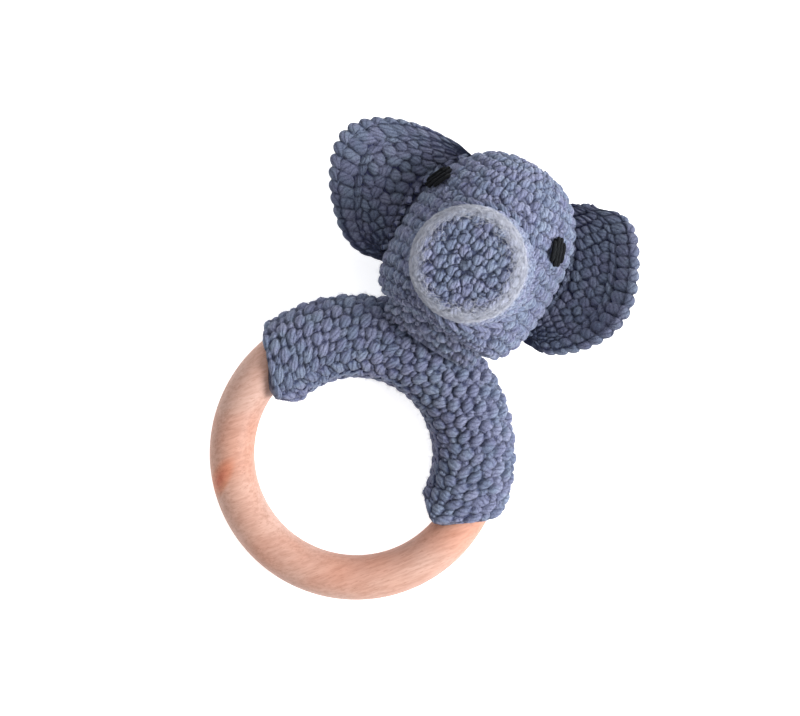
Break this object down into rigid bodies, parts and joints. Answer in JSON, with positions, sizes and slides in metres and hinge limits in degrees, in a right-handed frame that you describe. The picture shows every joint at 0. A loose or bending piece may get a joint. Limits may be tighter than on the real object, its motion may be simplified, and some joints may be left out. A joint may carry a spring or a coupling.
{
  "type": "elephant teething ring rattle",
  "caption": "Crocheted elephant head with stub trunk, fold-out ears and a rattle inside, sewn to a crocheted sleeve on a wooden teething ring.",
  "frame": {"origin": "middle of the footprint, on the surface that the toy lies on with its back down", "axes": "+Z the way the trunk points, away from the surface; +Y from the wooden ring to the crown of the head; +X across the ears"},
  "size_m": [0.0798, 0.1152, 0.0599],
  "materials": {
    "beech": "fine sanded, unvarnished, faintly pink, short brown flecks",
    "blue_yarn": "greyish blue cotton yarn in tight single crochet",
    "black_yarn": "near-black cotton embroidery",
    "wadding": "white polyester wadding",
    "capsule_plastic": "moulded, natural white",
    "bead_plastic": "moulded beads"
  },
  "bodies": {
    "sleeve": {"ring_sleeve": "blue_yarn", "sleeve_seam": "blue_yarn"},
    "ring": {"wooden_ring": "beech"},
    "head": {"head_cover": "blue_yarn", "head_stuffing_front": "wadding", "head_stuffing_back": "wadding", "rattle_shell_base": "capsule_plastic", "rattle_shell_lid": "capsule_plastic", "neck_seam": "blue_yarn", "trunk_base": "blue_yarn", "trunk_stuffing": "wadding", "trunk_seam": "blue_yarn", "left_ear_seam": "blue_yarn", "right_ear_seam": "blue_yarn", "left_eye": "black_yarn", "right_eye": "black_yarn"},
    "trunk": {"trunk_tip": "blue_yarn"},
    "left_ear": {"left_ear": "blue_yarn", "left_ear_edging": "blue_yarn"},
    "right_ear": {"right_ear": "blue_yarn", "right_ear_edging": "blue_yarn"},
    "bead_1": {"rattle_bead_1": "bead_plastic"},
    "bead_2": {"rattle_bead_2": "bead_plastic"},
    "bead_3": {"rattle_bead_3": "bead_plastic"},
    "bead_4": {"rattle_bead_4": "bead_plastic"},
    "bead_5": {"rattle_bead_5": "bead_plastic"},
    "bead_6": {"rattle_bead_6": "bead_plastic"},
    "bead_7": {"rattle_bead_7": "bead_plastic"}
  },
  "joints": [
    {"name": "ring_turn", "type": "hinge", "parent": "sleeve", "child": "ring", "pos_m": [0, -0.0226, 0.008], "axis": [0, 0, 1], "continuous": true},
    {"name": "head_nod", "type": "hinge", "parent": "sleeve", "child": "head", "pos_m": [0, 0.00565, 0.008], "axis": [1, 0, 0], "range_deg": [-12, 30], "stiffness_Nm_per_rad": 0.4},
    {"name": "left_ear_fold", "type": "hinge", "parent": "head", "child": "left_ear", "pos_m": [-0.0233, 0.0374, 0.0185], "axis": [0, 1, 0], "range_deg": [-25, 40], "stiffness_Nm_per_rad": 0.02},
    {"name": "right_ear_fold", "type": "hinge", "parent": "head", "child": "right_ear", "pos_m": [0.0233, 0.0374, 0.0185], "axis": [0, -1, 0], "range_deg": [-25, 40], "stiffness_Nm_per_rad": 0.02},
    {"name": "trunk_wag", "type": "hinge", "parent": "head", "child": "trunk", "pos_m": [0, 0.0287, 0.039], "axis": [1, 0, 0], "range_deg": [-12, 12], "stiffness_Nm_per_rad": 0.1},
    {"name": "bead_1_rattle", "type": "slide", "parent": "head", "child": "bead_1", "axis": [0, 0, 1], "range_m": [0, 0.0117]},
    {"name": "bead_2_rattle", "type": "slide", "parent": "head", "child": "bead_2", "axis": [0, 0, 1], "range_m": [0, 0.0117]},
    {"name": "bead_3_rattle", "type": "slide", "parent": "head", "child": "bead_3", "axis": [0, 0, 1], "range_m": [0, 0.0117]},
    {"name": "bead_4_rattle", "type": "slide", "parent": "head", "child": "bead_4", "axis": [0, 0, 1], "range_m": [0, 0.0117]},
    {"name": "bead_5_rattle", "type": "slide", "parent": "head", "child": "bead_5", "axis": [0, 0, 1], "range_m": [0, 0.0117]},
    {"name": "bead_6_rattle", "type": "slide", "parent": "head", "child": "bead_6", "axis": [0, 0, 1], "range_m": [0, 0.0117]},
    {"name": "bead_7_rattle", "type": "slide", "parent": "head", "child": "bead_7", "axis": [0, 0, 1], "range_m": [0, 0.0117]}
  ]
}
